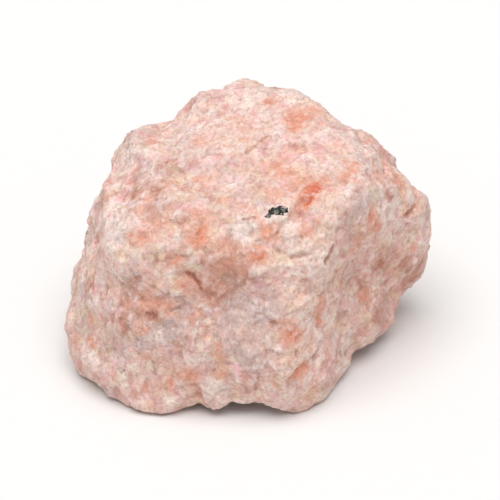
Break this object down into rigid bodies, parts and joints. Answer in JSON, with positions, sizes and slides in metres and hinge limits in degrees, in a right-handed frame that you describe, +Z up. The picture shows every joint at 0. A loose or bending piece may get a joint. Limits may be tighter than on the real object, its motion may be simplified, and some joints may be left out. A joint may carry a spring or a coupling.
{
  "type": "rough sunstone specimen",
  "caption": "Rough, untumbled lump of salmon-pink sunstone with broken faces, a scooped front and a flat patch underneath that it rests on.",
  "frame": {"origin": "on the resting surface, under the middle of the stone's bounding box", "axes": "+Z up, +X to the right along the longest side, -Y out of the front with the shallow hollow"},
  "size_m": [0.046, 0.039, 0.032],
  "materials": {
    "sunstone_rough": "matte"
  },
  "bodies": {
    "root": {"sunstone": "sunstone_rough"}
  },
  "joints": []
}
